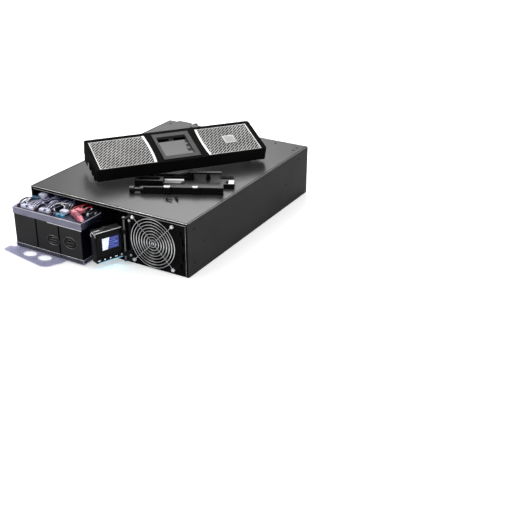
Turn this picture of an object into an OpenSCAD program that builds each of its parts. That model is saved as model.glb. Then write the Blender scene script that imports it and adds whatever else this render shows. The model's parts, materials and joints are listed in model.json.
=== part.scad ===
// 3U rack-mount battery backup unit, front bezel removed for battery service.
// Origin: centre of the chassis base. +Y points to the rear, +X to the right seen from the front.

/* [Chassis] */
// Overall width of the chassis, for a 19 inch rack
body_w = 440; // [436:1:444]
// Overall depth of the chassis
body_d = 580; // [575:1:600]
// Overall height of the chassis, three rack units less clearance
body_h = 130; // [130:0.5:132]
// Thickness of the steel sheet
sheet = 1.2; // [1:0.1:1.2]
// Radius of the M4 clearance holes in the side walls
ear_hole_r = 2.1; // [1.7:0.1:2.2]

/* [Battery tray] */
// Width of one sealed battery block
block_w = 66; // [64:0.5:66]
// Length of one sealed battery block, front to back
block_l = 90; // [88:0.5:90]
// Height of the block's case below its lid
block_h = 94; // [90:0.5:94]
// Number of battery rows, front to back
rows = 5; // [3:1:5]
// How far the tray stands out of the chassis at rest
tray_out = 72; // [60:1:80]

/* [Display] */
// Width of the display module
disp_w = 68; // [64:1:68]
// Height of the display module
disp_h = 72; // [66:1:74]
// Angle of the display from closed, at rest
disp_open = 67.7; // [60:0.1:75]

/* [Fan] */
// Side of the square fan frame
fan_size = 120; // [119:1:120]
// Side of the square of fan screws
fan_pitch = 105; // [104.8:0.1:105.2]
// Number of fan blades
blades = 7; // [5:1:9]
// Number of rings in the wire guard
guard_rings = 8; // [6:1:9]

/* [Bezel] */
// Width of the loose front bezel
bezel_w = 432; // [428:1:436]
// Height of the loose front bezel
bezel_h = 131; // [129:0.5:132]
// Depth of the loose front bezel
bezel_t = 32; // [28:0.5:34]

/* [Hidden] */
$fn = 48;
clear = 0.2;                         // running gap between loose pieces
front = -body_d / 2;                 // front plane
back = body_d / 2;                   // rear plane
side = body_w / 2;                   // outer face of a side wall
inner = side - sheet;                // inner face of a side wall
lid_z = body_h - sheet;              // underside of the lid
seam_z = body_h - 4;                 // bottom edge of the lid's skirt
lip_y = 3.4;                         // depth of the front panel's top return

tray_l = -side + 4;                  // left face of the tray
tray_wall = 1;                       // clear sheet of the tray
gap = 0.4;                           // gap between battery blocks
tray_in_w = 3 * block_w + 2 * gap + 2 * clear;
tray_r = tray_l + tray_in_w + 2 * tray_wall;
tray_y = front - tray_out;           // front face of the tray's lip
tray_in_l = rows * block_l + (rows - 1) * gap + 2 * clear;
tray_z = 2.2;                        // underside of the tray
floor_z = tray_z + tray_wall;
lip_h = 12;                          // height of the tray's lip
case_z = floor_z + 0.1;
lid_h = 4;                           // battery lid
lid_top = case_z + block_h + lid_h;
skirt_bot = 88;                      // lower edge of the clear cover's skirt
deck_z = 104;                        // underside of the clear cover's deck
deck_t = 0.8;
deck_top = deck_z + deck_t + 0.1;    // where the parts on the deck stand

bay_l = -side + 3;                   // left edge of the front opening
post_l = tray_r + 1.4;               // left face of the bay divider
post_r = post_l + sheet;
recess_r = 61.5;                     // left edge of the fan plate
open_top = 121.5;                    // top of the front openings
sill = 8;                            // bottom of the display recess
bay_len = 466;                       // bay depth behind the front plane

fan_x = 127.7;
fan_z = 63.4;
fan_y = front + 1.6;                 // front face of the fan frame
fan_t = 38;
fan_bore = 57.5;
hub_r = 19.5;
shaft_r = 1.5;
wire_r = 1;                          // wire of the fan guard
guard_r = 58.5;                      // outermost ring of the guard
guard_step = 7.1;

pin_x = 61;                          // hinge pin of the display
pin_y = front - 16;
pin_r = 2;
ear_z = [12, 115];                   // undersides of the bracket's two ears
disp_z = 20;                         // underside of the display module
disp_near = 1.5;                     // gap from pin axis to the module
disp_far = disp_near + disp_w;
face_v = 6;                          // module's face, behind the pin axis
shell_v = 30;                        // back edge of the front shell
back_v = 33;                         // back of the module
screen_u = [10.5, 55.5];             // screen's edges, from the hinge
screen_h = [27, 57.5];               // screen's edges, from the module's underside
key_z = disp_z + 6.5;
key_pitch = 14.4;
key_u = disp_near + 5.2;             // key nearest to the hinge
key_w = 10;
key_h = 5;

bezel_at = [6.7, -11.3, 188];
bezel_tilt = 14.8;
bezel_yaw = 52.3;
bez_r = 6;                           // corner radius of the bezel
bez_wall = 2.4;
grille_x = [-207, -68, 65, 203];     // left and right edges of the two grilles
grille_y = [-61, 54];
frame_x = [-49, 45];                 // raised centre frame
frame_y = [-58, 52];
hole_x = [-41, 33];                  // opening for the display
hole_y = [-44, 37];

kit_at = [102, -163, body_h + 0.1];  // datum of the loose stand parts
kit_yaw = 28.3;

// Side-wall holes for rack ears and rails: [distance behind the front, height]
side_holes = [[26, 27], [26, 110], [66, 65], [456, 65], [530, 27], [530, 110]];
// Places of the lid's screws on the top
lid_screws = [[200, 246], [200, 264], [134, 269], [-134, 269], [-200, 264], [126, -59]];
rear_screw_x = [-212, 0, 212];
rear_screw_z = [10, 118];

board = [-4, front + 60, 210, back - 46];   // left, front, right and back edges of the circuit board
board_z = 12;
term_box = [-207, 62, -164, 123];    // left, bottom, right and top of the terminal cover
pole_pitch = 8.4;                    // of the rear terminals
gland_at = [-153.5, 115];             // axis of the cable gland
sockets = [-112, -72, -32, 8];       // centres of the outlets
card = [120, 70, 204, 100];          // left, bottom, right and top of the card slot
breaker_at = [60, 44];               // centre of the input breaker
bracket_screw_z = [19, 105];

// ---- shared shapes -------------------------------------------------------

// Box given by its lowest and highest corners
module slab(low, high) {
    translate(low) cube(high - low);
}

// Flat rectangle with rounded corners, given by two corners
module round_rect(low, high, r) {
    translate([low[0] + r, low[1]]) square([high[0] - low[0] - 2 * r, high[1] - low[1]]);
    translate([low[0], low[1] + r]) square([high[0] - low[0], high[1] - low[1] - 2 * r]);
    for (x = [low[0] + r, high[0] - r], y = [low[1] + r, high[1] - r])
        translate([x, y]) circle(r);
}

// Cylinder along +X or +Y from a point
module rod_x(at, r, len) { translate(at) rotate([0, 90, 0]) cylinder(r = r, h = len); }
module rod_y(at, r, len) { translate(at) rotate([-90, 0, 0]) cylinder(r = r, h = len); }
module rod_z(at, r, len) { translate(at) cylinder(r = r, h = len); }

// Straight round wire between two points
module wire(a, b, r) {
    d = b - a;
    len = norm(d);
    translate(a) rotate([0, acos(d[2] / len), atan2(d[1], d[0])]) cylinder(r = r, h = len);
}

// Places of the four fan screws
module at_fan_corners() {
    for (sx = [-1, 1], sz = [-1, 1])
        translate([fan_x + sx * fan_pitch / 2, 0, fan_z + sz * fan_pitch / 2]) children();
}

// ---- chassis -------------------------------------------------------------

module base_pan() {
    color("#26272a") difference() {
        union() {
            slab([-side, front, 0], [side, back, sheet]);
            for (m = [0, 1]) mirror([m, 0, 0]) {
                slab([inner, front, 0], [side, back, seam_z - 0.4]);
                slab([inner, front, 0], [side, front + lip_y, lid_z - 0.05]);
            }
        }
        for (h = side_holes) rod_x([-side - 1, front + h[0], h[1]], ear_hole_r, body_w + 2);
    }
}

module top_cover() {
    flange = inner - clear;
    color("#2b2c2f") difference() {
        union() {
            slab([-side, front + lip_y + 0.4, lid_z], [side, back, body_h]);
            for (m = [0, 1]) mirror([m, 0, 0]) {
                slab([inner, front + lip_y + 0.4, seam_z], [side, back, body_h]);
                slab([flange - 1, front + 60, 114], [flange, back - 12, body_h - 0.5]);
            }
        }
        for (p = lid_screws) rod_z([p[0], p[1], lid_z - 1], 1.6, 4);
    }
}

module chassis_screws() {
    color("#1b1b1d") {
        for (p = lid_screws) {
            rod_z([p[0], p[1], body_h - 5], 1.5, 5.2);
            rod_z([p[0], p[1], body_h + 0.05], 3.2, 0.8);
        }
        for (x = rear_screw_x, z = rear_screw_z) {
            rod_y([x, back - 4, z], 1.5, 5);
            rod_y([x, back + 0.05, z], 3.2, 1.6);
        }
    }
}

module front_panel() {
    edge = inner - clear;
    slots = [[202, 102, 13], [206.5, 82, 20], [206.5, 48, 18], [201.5, 24, 12]];
    color("#1c1d1f") difference() {
        union() {
            slab([-edge, front, sheet + 0.1], [edge, front + 1.5, body_h]);
            slab([-side, front, lid_z], [side, front + lip_y, body_h]);
            slab([recess_r, front, sill], [recess_r + sheet, front + 30, open_top]);
        }
        slab([bay_l, front - 1, 0], [post_l - 0.6, front + 3, open_top]);
        slab([post_r + 0.6, front - 1, sill], [recess_r, front + 3, open_top]);
        rod_y([fan_x, front - 1, fan_z], fan_bore, 4);
        at_fan_corners() rod_y([0, front - 1, 0], 2.2, 4);
        for (s = slots)
            slab([s[0] - 1.8, front - 1, s[1] - s[2] / 2], [s[0] + 1.8, front + 3, s[1] + s[2] / 2]);
        for (z = bracket_screw_z) rod_y([65.2, front - 1, z], 1.6, 4);
    }
}

module bay_divider() {
    top = lid_z - 0.3;
    color("#202124") difference() {
        union() {
            slab([post_l, front + 1.7, sheet + 0.1], [post_r, front + bay_len + sheet, top]);
            slab([post_l, front + 46, sheet + 0.1], [recess_r - 1, front + 46 + sheet, top]);
            slab([-inner + 1.6, front + bay_len, sheet + 0.1], [post_r, front + bay_len + sheet, top]);
            slab([post_l, front + 50, sheet + 0.1], [post_r + 9, front + bay_len, 2 * sheet + 0.1]);
        }
        rod_y([30, front + 40, 96], 6, 12);
        slab([-150, front + bay_len - 1, 70], [-80, front + bay_len + 3, 90]);
    }
}

module tray_rails() {
    color("#d9d9d2") for (x = [tray_l + 2, tray_r - 12])
        slab([x, front + 2, sheet + 0.05], [x + 10, front + 455, tray_z - 0.2]);
}

module battery_socket() {
    color("#111214") difference() {
        slab([-148, front + bay_len + sheet + 0.1, 66], [-82, front + bay_len + 14, 94]);
        for (x = [-132, -98]) rod_y([x, front + bay_len, 80], 7, 12);
    }
}

// ---- fan -----------------------------------------------------------------

module fan_frame() {
    half = fan_size / 2;
    rear = fan_t - 3;
    color("#151617") translate([fan_x, fan_y, fan_z]) difference() {
        union() {
            for (y = [0, fan_t - 4]) slab([-half, y, -half], [half, y + 4, half]);
            rod_y([0, 0, 0], half - 0.5, fan_t);
        }
        difference() {
            rod_y([0, -1, 0], fan_bore, fan_t + 2);
            rod_y([0, rear, 0], hub_r + 1, 4);
            for (a = [45:90:315]) rotate([0, a, 0]) slab([-3, rear, 0], [3, fan_t, fan_bore + 1]);
        }
        rod_y([0, rear - 1, 0], shaft_r + 0.05, 6);
        for (sx = [-1, 1], sz = [-1, 1])
            rod_y([sx * fan_pitch / 2, -1, sz * fan_pitch / 2], 2.2, fan_t + 2);
    }
}

module fan_rotor() {
    tip_r = fan_bore - 2;
    chord = 30;
    color("#0f1011") translate([fan_x, fan_y, fan_z]) {
        rod_y([0, 3, 0], hub_r, 30);
        rod_y([0, 30, 0], shaft_r, 7);
        intersection() {
            difference() {
                rod_y([0, 4, 0], tip_r, 28);
                rod_y([0, 3, 0], hub_r - 0.5, 30);
            }
            for (i = [0:blades - 1]) rotate([0, i * 360 / blades, 0])
                translate([0, 18, 0]) rotate([0, 0, 38])
                    translate([-chord / 2, -1.1, hub_r - 3]) cube([chord, 2.2, tip_r]);
        }
    }
}

module guard_ring(r) {
    rotate([90, 0, 0]) rotate_extrude($fn = 96) translate([r, 0]) circle(wire_r, $fn = 24);
}

module fan_guard() {
    spoke_y = front - wire_r - 0.1;
    ring_y = spoke_y - 2 * wire_r + 0.3;
    reach = fan_pitch / 2 * sqrt(2) - 3;
    color("#c9ccd0") {
        translate([fan_x, ring_y, fan_z]) {
            for (i = [0:guard_rings - 1]) guard_ring(guard_r - i * guard_step);
            guard_ring(3.2);
        }
        for (a = [45:90:315]) translate([fan_x, spoke_y, fan_z]) rotate([0, a, 0])
            cylinder(r = wire_r, h = reach);
        at_fan_corners() translate([0, spoke_y, 0]) guard_ring(3.3);
    }
}

module fan_screws() {
    head_y = front - 2 * wire_r - 0.3;
    color("#e4e4e4") at_fan_corners() difference() {
        union() {
            rod_y([0, head_y - 2.4, 0], 4, 2.4);
            rod_y([0, head_y - 1, 0], 1.9, 14);
        }
        slab([-2.6, head_y - 3, -0.5], [2.6, head_y - 1.4, 0.5]);
        slab([-0.5, head_y - 3, -2.6], [0.5, head_y - 1.4, 2.6]);
    }
}

// ---- display -------------------------------------------------------------

module display_bracket() {
    face_y = front - sheet;
    color("#8d9095") difference() {
        union() {
            slab([62, face_y, 6], [68.6, front - 0.05, 120.5]);
            for (z = ear_z) {
                slab([62, pin_y, z], [68.6, front - 0.1, z + 1.6]);
                rod_z([pin_x + 1, pin_y, z], 5, 1.6);
            }
        }
        rod_z([pin_x, pin_y, 0], pin_r + 0.03, body_h);
        for (z = bracket_screw_z) rod_y([65.2, front - 3, z], 1.6, 4);
    }
}

module display_hinge_pin() {
    color("#d4d6d9") {
        rod_z([pin_x, pin_y, ear_z[0] - 3], pin_r, ear_z[1] - ear_z[0] + 5);
        rod_z([pin_x, pin_y, ear_z[1] + 1.8], 3.2, 1.6);
        rod_z([pin_x, pin_y, ear_z[0] - 2], 3.2, 1.2);
    }
}

module bracket_screws() {
    color("#dcdcdc") for (z = bracket_screw_z) {
        rod_y([65.2, front - 3, z], 2.8, 1.7);
        rod_y([65.2, front - 2, z], 1.5, 8);
    }
}

// Turns the display about its pin; inside, -X runs to the free edge and +Y to the back
module at_display() {
    translate([pin_x, pin_y, 0]) rotate([0, 0, disp_open]) children();
}

// Outline of the module seen from above between two depths, with the swing relief
module display_outline(v0, v1) {
    far_back = disp_far - 3.5;
    slope = (disp_far - far_back) / 8;
    function far(v) = disp_far - max(0, v - 25) * slope;
    polygon([[-disp_near, v0], [-far(v0), v0], [-far(min(25, v1)), min(25, v1)],
             [-far(v1), v1], [-disp_near, v1]]);
}

function key_x(i) = -(key_u + i * key_pitch);

// Block of key i, grown by a margin, between two depths
module key_box(i, margin, v0, v1) {
    w = key_w / 2 + margin;
    h = key_h / 2 + margin;
    slab([key_x(i) - w, v0, key_z - h], [key_x(i) + w, v1, key_z + h]);
}

module display_shell() {
    wall = 2;
    color("#121314") at_display() difference() {
        union() {
            translate([0, 0, disp_z]) linear_extrude(disp_h) display_outline(face_v, shell_v);
            for (z = [disp_z + 4, disp_z + disp_h - 14]) {
                rod_z([0, 0, z], 4, 10);
                slab([-6, 0, z], [0, face_v + 2, z + 10]);
            }
            rod_x([-disp_far - 1.6, 14, disp_z + disp_h - 11], 7, 3);
            for (z = [disp_z + 8 : 6 : disp_z + 50])
                slab([-disp_far - 0.7, 9, z], [-disp_far + 1, 22, z + 2.4]);
        }
        slab([-disp_far + wall, face_v + wall, disp_z + wall],
             [-disp_near - wall, shell_v + 1, disp_z + disp_h - wall]);
        slab([-67, face_v - 1, disp_z + 14], [-6, face_v + 1.2, disp_z + disp_h - 3]);
        slab([-screen_u[1] - 0.5, face_v - 1, disp_z + screen_h[0] - 0.5],
             [-screen_u[0] + 0.5, face_v + 4, disp_z + screen_h[1] + 0.5]);
        for (i = [0:4]) key_box(i, 0.3, face_v - 1, face_v + 4);
        slab([-disp_far + 4, face_v - 1, disp_z - 1], [-disp_near - 2, face_v + 3.6, disp_z + 1.6]);
        for (z = [disp_z + 4, disp_z + disp_h - 14]) rod_z([0, 0, z - 1], pin_r + 0.05, 12);
        rod_x([-disp_far - 2, 14, disp_z + disp_h - 11], 3, 1.2);
    }
}

module display_back() {
    color("#1a1b1d") at_display() difference() {
        union() {
            translate([0, 0, disp_z]) linear_extrude(disp_h) display_outline(shell_v + 0.05, back_v);
            slab([-50, 27, disp_z + 20], [-20, shell_v + 1, disp_z + 48]);
        }
        rod_y([-36, 26, disp_z + 34], 7, 9);
    }
}

module display_lens() {
    color("#08090a", 0.5) at_display()
        slab([-66.8, face_v + 0.1, disp_z + 14.2], [-6.2, face_v + 1.15, disp_z + disp_h - 3.2]);
}

module lcd_panel() {
    color("#3c56c8") at_display()
        slab([-screen_u[1], face_v + 1.25, disp_z + screen_h[0]],
             [-screen_u[0], face_v + 4.4, disp_z + screen_h[1]]);
}

module display_board() {
    color("#1d5a34") at_display() difference() {
        slab([-64, 13.5, disp_z + 3], [-7, 15.1, disp_z + disp_h - 4]);
        for (x = [-60, -11], z = [disp_z + 7, disp_z + disp_h - 8]) rod_y([x, 12, z], 1.6, 5);
    }
}

module light_bar() {
    color("#8fe8ff") at_display()
        slab([-disp_far + 4.2, face_v + 0.2, disp_z - 0.8],
             [-disp_near - 2.2, face_v + 3.4, disp_z + 1.4]);
}

module display_key(i) {
    color("#2a2b2d") at_display() {
        key_box(i, 0, face_v - 1, face_v + 2.8);
        rod_y([key_x(i), face_v + 2, key_z], 1.6, 4.2);
    }
}

module key_escape() { display_key(4); }
module key_up() { display_key(3); }
module key_down() { display_key(2); }
module key_enter() { display_key(1); }
module key_power() { display_key(0); }

// ---- power electronics ---------------------------------------------------

module power_board() {
    color("#1f6b3a") difference() {
        slab([board[0], board[1], board_z], [board[2], board[3], board_z + 1.6]);
        for (x = [board[0] + 8, board[2] - 8], y = [board[1] + 8, 0, board[3] - 8])
            rod_z([x, y, board_z - 1], 1.7, 4);
    }
}

module board_standoffs() {
    color("#b9bcc0") for (x = [board[0] + 8, board[2] - 8], y = [board[1] + 8, 0, board[3] - 8]) {
        rod_z([x, y, sheet + 0.05], 3, board_z - sheet - 0.1);
        rod_z([x, y, board_z - 0.5], 1.5, 3);
        rod_z([x, y, board_z + 1.7], 2.8, 1.6);
    }
}

module heatsink(x, y, len) {
    z = board_z + 1.7;
    slab([x, y, z], [x + 36, y + len, z + 5]);
    for (i = [0:5]) slab([x + i * 6.7, y, z], [x + i * 6.7 + 2, y + len, z + 62]);
}

module heatsinks() {
    color("#a8abb0") {
        heatsink(20, front + 90, 200);
        heatsink(150, front + 90, 200);
    }
}

module capacitors() {
    color("#22324f") for (i = [0:2], j = [0:1])
        rod_z([78 + j * 44, front + 115 + i * 46, board_z + 1.7], 17, 50);
}

module inductors() {
    z = board_z + 1.7;
    color("#9c5a26") for (i = [0:2])
        translate([40 + i * 62, 95, z + 13]) rotate_extrude() translate([16, 0]) circle(12, $fn = 32);
    color("#3a3b3e") slab([20, 150, z], [95, 225, z + 70]);
    color("#c08a3a") slab([28, 142, z + 10], [87, 149.9, z + 60]);
}

// ---- rear ----------------------------------------------------------------

module rear_panel() {
    edge = inner - clear;
    color("#202124") difference() {
        union() {
            slab([-edge, back - 1.5, sheet + 0.1], [edge, back, lid_z - 0.1]);
            slab([-edge + 4, back - 52, lid_z - sheet - 0.2], [edge - 4, back - 1, lid_z - 0.1]);
        }
        for (x = sockets) slab([x - 14, back - 3, 28], [x + 14, back + 1, 52]);
        slab([term_box[0] + 6, back - 3, term_box[1] + 12],
             [term_box[2] - 6, back + 1, term_box[3] - 16]);
        slab([card[0] + 4, back - 3, card[1] + 3], [card[2] - 4, back + 1, card[3] - 3]);
        slab([breaker_at[0] - 12, back - 3, breaker_at[1] - 16],
             [breaker_at[0] + 12, back + 1, breaker_at[1] + 16]);
        rod_y([gland_at[0], back - 3, gland_at[1]], 7.2, 6);
        for (i = [0:11]) slab([110 + i * 8, back - 3, 14], [113.5 + i * 8, back + 1, 60]);
        for (p = lid_screws) rod_z([p[0], p[1], lid_z - 3], 1.6, 4);
        for (x = rear_screw_x, z = rear_screw_z) rod_y([x, back - 3, z], 1.6, 4);
    }
}

module outlets() {
    color("#0e0f10") for (x = sockets) difference() {
        union() {
            slab([x - 13.8, back - 22, 28.2], [x + 13.8, back + 0.2, 51.8]);
            slab([x - 16, back + 0.05, 26], [x + 16, back + 2.4, 54]);
        }
        slab([x - 12, back - 16, 31], [x + 12, back + 3, 49]);
    }
    color("#0e0f10") for (x = sockets) difference() {
        slab([x - 8.5, back - 16.5, 34], [x + 8.5, back - 0.5, 46]);
        for (p = [[-5, 37.5], [5, 37.5], [0, 42.5]])
            slab([x + p[0] - 1, back - 13, p[1] - 2], [x + p[0] + 1, back, p[1] + 2]);
    }
}

module input_breaker() {
    color("#101112") difference() {
        slab([breaker_at[0] - 11.7, back - 30, breaker_at[1] - 15.7],
             [breaker_at[0] + 11.7, back + 2.2, breaker_at[1] + 15.7]);
        slab([breaker_at[0] - 6, back - 5, breaker_at[1] - 10],
             [breaker_at[0] + 6, back + 3, breaker_at[1] + 10]);
    }
}

module breaker_toggle() {
    color("#2f3033") translate([breaker_at[0], back - 0.5, breaker_at[1]]) rotate([-22, 0, 0]) {
        rod_x([-5.5, 0, 0], 3.6, 11);
        slab([-3.5, 0, -1.4], [3.5, 12.5, 1.4]);
    }
}

module terminal_block() {
    bottom = term_box[1] + 15;
    color("#17181a") difference() {
        slab([term_box[0] + 7, back - 12, bottom], [term_box[2] - 7, back + 14, bottom + 26]);
        for (i = [0:2])
            slab([term_box[0] + 10 + i * pole_pitch, back + 5, bottom - 1],
                 [term_box[0] + 16 + i * pole_pitch, back + 15, bottom + 19]);
    }
    color("#d0a850") for (i = [0:2])
        rod_y([term_box[0] + 13 + i * pole_pitch, back + 4.5, bottom + 9], 2.6, 4);
}

module terminal_cover() {
    depth = 28;
    color("#77797d") difference() {
        slab([term_box[0], back + 0.1, term_box[1]], [term_box[2], back + depth, term_box[3]]);
        slab([term_box[0] + sheet, back - 1, term_box[1] - 1],
             [term_box[2] - sheet, back + depth - sheet, term_box[3] - sheet]);
    }
}

module cable_gland() {
    color("#0d0d0e") {
        rod_y([gland_at[0], back - 6, gland_at[1]], 7, 8);
        rod_y([gland_at[0], back + 1, gland_at[1]], 9.5, 8);
        rod_y([gland_at[0], back + 8, gland_at[1]], 7.5, 26);
    }
}

module comm_card() {
    color("#2d2e31") difference() {
        slab([card[0], back + 0.1, card[1]], [card[2], back + 1.4, card[3]]);
        slab([card[0] + 18, back - 1, card[1] + 9], [card[0] + 34, back + 3, card[1] + 21]);
        slab([card[0] + 42, back - 1, card[1] + 9], [card[0] + 60, back + 3, card[1] + 19]);
    }
    color("#1f6b3a")
        slab([card[0] + 6, back - 110, card[1] + 6], [card[2] - 6, back + 0.1, card[1] + 7.6]);
    color("#c4c7cb") {
        slab([card[0] + 18.2, back - 20, card[1] + 7.6], [card[0] + 33.8, back - 3, card[1] + 20.8]);
        for (x = [card[0] + 7, card[2] - 7]) rod_y([x, back + 1.4, card[1] + 24], 3.4, 5);
    }
}

// ---- battery tray --------------------------------------------------------

module tray_shell() {
    color("#b7b4dc", 0.5) difference() {
        slab([tray_l, tray_y, tray_z], [tray_r, tray_y + tray_in_l + 2 * tray_wall, tray_z + lip_h]);
        slab([tray_l + tray_wall, tray_y + tray_wall, floor_z],
             [tray_r - tray_wall, tray_y + tray_wall + tray_in_l, tray_z + lip_h + 1]);
    }
}

// Places the corner of every battery block
module at_blocks() {
    for (i = [0:2], j = [0:rows - 1])
        translate([tray_l + tray_wall + clear + i * (block_w + gap),
                   tray_y + tray_wall + clear + j * (block_l + gap), 0]) children();
}

module battery_cases() {
    color("#2c2d30") at_blocks() slab([0, 0, case_z], [block_w, block_l, case_z + block_h]);
}

module battery_lids() {
    color("#1b1c1e") at_blocks() difference() {
        slab([0, 0, case_z + block_h + 0.05], [block_w, block_l, lid_top]);
        slab([22, 34, lid_top - 1.2], [block_w - 22, 62, lid_top + 1]);
    }
}

module battery_terminals() {
    color("#b8862f") at_blocks() for (x = [13, block_w - 13])
        slab([x - 2.4, 9, lid_top + 0.05], [x + 2.4, 10, lid_top + 2.4]);
}

module jumper_wires() {
    wire_d = 2.3;
    z = lid_top + 0.1 + wire_d / 2;
    first = tray_l + tray_wall + clear;
    pitch = block_w + gap;
    color("#17181a") for (j = [0:rows - 1]) {
        y = tray_y + tray_wall + clear + j * (block_l + gap) + 13.5;
        x = first + 13 + 2 * pitch * (j % 2);
        for (i = [1, 2])
            wire([first + i * pitch - 16, y, z], [first + i * pitch + 16, y, z], wire_d / 2);
        if (j < rows - 1) wire([x, y + 4, z], [x, y + block_l - 6, z], wire_d / 2);
    }
}

module wiring_cover() {
    outer_l = tray_l + 0.2;
    outer_r = tray_r - 0.2;
    y0 = tray_y + 0.4;
    y1 = tray_y + tray_in_l + 2 * tray_wall - 0.4;
    color("#aab4cc", 0.4) {
        difference() {
            slab([outer_l, y0, skirt_bot], [outer_r, y1, deck_z + deck_t]);
            slab([outer_l + 0.6, y0 + 0.6, skirt_bot - 1], [outer_r - 0.6, y1 - 0.6, deck_z]);
        }
        for (i = [0:3]) slab([outer_l + 24 + i * 33, y0 + (i == 1 || i == 2 ? 34 : 94), deck_z + 0.2],
                             [outer_l + 32 + i * 33, y1 - 20, deck_z + 4]);
    }
}

module white_connectors() {
    color("#e9ebef") {
        slab([-193, tray_y + 5, deck_top], [-156, tray_y + 13, deck_top + 7]);
        slab([-142, tray_y + 9, deck_top], [-114, tray_y + 17, deck_top + 6.5]);
        slab([-95, tray_y + 25, deck_top], [-77, tray_y + 38, deck_top + 6]);
        slab([-192, tray_y + 65, deck_top], [-175, tray_y + 77, deck_top + 12]);
    }
}

module blue_connectors() {
    color("#2b7fae") {
        slab([-92, tray_y + 7, deck_top], [-70, tray_y + 15, deck_top + 5.5]);
        slab([-204, tray_y + 52, deck_top], [-187, tray_y + 62, deck_top + 7]);
    }
}

module red_connector() {
    color("#e2566a") translate([-43, tray_y + 23, deck_top]) rotate([0, 0, -29]) {
        slab([-26, -5.5, 0], [20, 5.5, 10.5]);
        slab([19, -4, 1.5], [28, 4, 9]);
    }
    color("#c23a4c") slab([-66, tray_y + 44, deck_top], [-48, tray_y + 56, deck_top + 9]);
}

module main_cable() {
    z = deck_top + 4.2;
    bend_y = tray_y + 88;
    color("#141416") for (i = [0:2]) {
        x = -50 + i * 13;
        wire([x, bend_y, z], [-40 + i * 8, tray_y + 42, z], 2.6);
        rod_y([x, bend_y - 2, z], 2.7, 62);
        rod_y([x, bend_y + 6, z], 4, 7);
    }
}

module terminal_caps() {
    y = tray_y + 5;
    color("#131315") for (x = [-200, -102]) rod_z([x, y, deck_top], 2.8, 8);
    color("#5a1420") rod_z([-149, y + 3, deck_top], 4, 8);
}

module pull_tab() {
    hinge_y = tray_y - 0.7;
    left = tray_l - 16;
    right = -64;
    tip_r = 7;
    tip = [left + tip_r, hinge_y - 21];
    corner_r = 24;
    corner = [right - 36, hinge_y - 26];
    hole = [17.5, 13];
    color("#a9a6dd", 0.5) translate([0, 0, tray_z]) linear_extrude(tray_wall) difference() {
        union() {
            polygon([[tray_l + 2, hinge_y], [left + 1, hinge_y - 5], [left, tip[1]],
                     [tip[0] - 1, tip[1] - tip_r], [corner[0] - 2, corner[1] - corner_r],
                     [corner[0] + corner_r - 1, corner[1] - 5], [right - 4, hinge_y - 16],
                     [right, hinge_y]]);
            translate(tip) circle(tip_r);
            translate(corner) circle(corner_r);
        }
        for (x = [-161.5, -117.5])
            translate([x, hinge_y - hole[1] - 1]) scale([hole[0] / hole[1], 1]) circle(hole[1]);
    }
}

// ---- loose bezel ---------------------------------------------------------

// Lays the bezel on the parts on the lid; inside, the face looks along +Z
module at_bezel() {
    translate(bezel_at) rotate([bezel_tilt, 0, bezel_yaw]) children();
}

module bezel_frame() {
    w = bezel_w / 2;
    h = bezel_h / 2;
    lug = 20;
    color("#17181a") at_bezel() difference() {
        union() {
            translate([0, 0, -bezel_t]) linear_extrude(bezel_t) round_rect([-w, -h], [w, h], bez_r);
            for (m = [0, 1]) mirror([m, 0, 0]) {
                slab([w - 2.3, h - 34, -bezel_t - lug], [w - 0.6, h - 8, -4]);
                for (y = [-52, -30, -8]) slab([w - 3, y, -bezel_t - 6], [w + 1.6, y + 11, -18]);
            }
        }
        translate([0, 0, -bezel_t - 8]) linear_extrude(bezel_t + 5.4)
            round_rect([-w + bez_wall, -h + bez_wall], [w - bez_wall, h - bez_wall], bez_r - bez_wall);
        for (i = [0, 2]) slab([grille_x[i], grille_y[0], -4], [grille_x[i + 1], grille_y[1], 1]);
        slab([frame_x[0] + 2, frame_y[0] + 2, -4], [frame_x[1] - 2, frame_y[1] - 2, 1]);
    }
}

module bezel_grilles() {
    pitch = 12;
    color("#a9abac") at_bezel() for (i = [0, 2]) {
        low = [grille_x[i], grille_y[0]];
        high = [grille_x[i + 1], grille_y[1]];
        difference() {
            union() {
                slab([low[0] + clear, low[1] + clear, -3.6], [high[0] - clear, high[1] - clear, -0.6]);
                slab([low[0] - 1, low[1] - 1, -3.6], [high[0] + 1, high[1] + 1, -2.7]);
            }
            slab([low[0] + 2, low[1] + 2, -4], [high[0] - 2, high[1] - 2, -1.6]);
            intersection() {
                slab([low[0] + 5, low[1] + 5, -2], [high[0] - 5, high[1] - 5, 0]);
                for (k = [-8:24]) translate([low[0] + k * pitch, low[1], -2])
                    rotate([0, 0, 55]) cube([220, 4, 2]);
            }
        }
    }
}

module centre_frame() {
    color("#5c5d5f") at_bezel() difference() {
        union() {
            slab([frame_x[0], frame_y[0], 0.1], [frame_x[1], frame_y[1], 1.6]);
            slab([frame_x[0] + 2.2, frame_y[0] + 2.2, -6], [frame_x[1] - 2.2, frame_y[1] - 2.2, 1]);
        }
        slab([hole_x[0], hole_y[0], -8], [hole_x[1], hole_y[1], 3]);
    }
    color("#5c5d5f") at_bezel() {
        slab([-9, hole_y[1] - 9, -8], [3, hole_y[1] + 4, -6]);
        for (y = [-22, -4, 14]) slab([hole_x[1] - 6 + y / 8, y, -8], [hole_x[1] + 4, y + 11, -6]);
    }
}

module badge_plate() {
    color("#cfd0d0") at_bezel() translate([0, 0, -0.5]) linear_extrude(1.8)
        round_rect([122, -22], [152, 10], 2);
}

// ---- loose stand parts on the lid ----------------------------------------

// Frame of the loose parts; inside, +X runs along the feet
module at_kit() {
    translate(kit_at) rotate([0, 0, kit_yaw]) children();
}

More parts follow.
